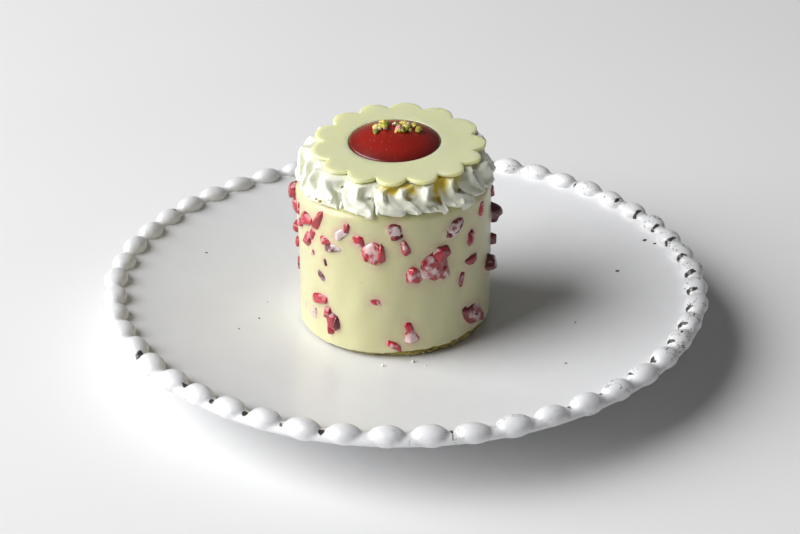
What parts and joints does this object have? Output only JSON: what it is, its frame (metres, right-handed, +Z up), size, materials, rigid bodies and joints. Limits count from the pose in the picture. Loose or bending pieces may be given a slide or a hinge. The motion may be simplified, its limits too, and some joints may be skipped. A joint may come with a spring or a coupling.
{
  "type": "glazed fraisier-style cake on a beaded plate",
  "caption": "Small round glazed cake with fruit bits, piped cream, a scalloped chocolate disc and a red jelly dome, on a white plate with a beaded rim",
  "frame": {"origin": "centre of the plate's foot, on the surface it stands on, which is the middle of the underside of the bounding box", "axes": "+Z up, -Y towards the front of the cake, +X to the right seen from the front"},
  "size_m": [0.2059, 0.2076, 0.0785],
  "materials": {
    "porcelain": "white glazed porcelain with a soft gloss and a few grey marks",
    "biscuit": "crumbly, matt, baked biscuit",
    "glaze": "pale yellow white-chocolate glaze with a satin sheen, set with red fruit bits",
    "cream": "soft white whipped cream",
    "white_chocolate": "thin tempered white chocolate, slightly translucent",
    "jelly": "deep red set jelly with a satin gloss, sprinkled with chopped nuts"
  },
  "bodies": {
    "root": {"plate": "porcelain", "biscuit": "biscuit", "glazed_cake": "glaze", "piped_cream": "cream", "chocolate_disc": "white_chocolate", "jelly_dome": "jelly"}
  },
  "joints": []
}
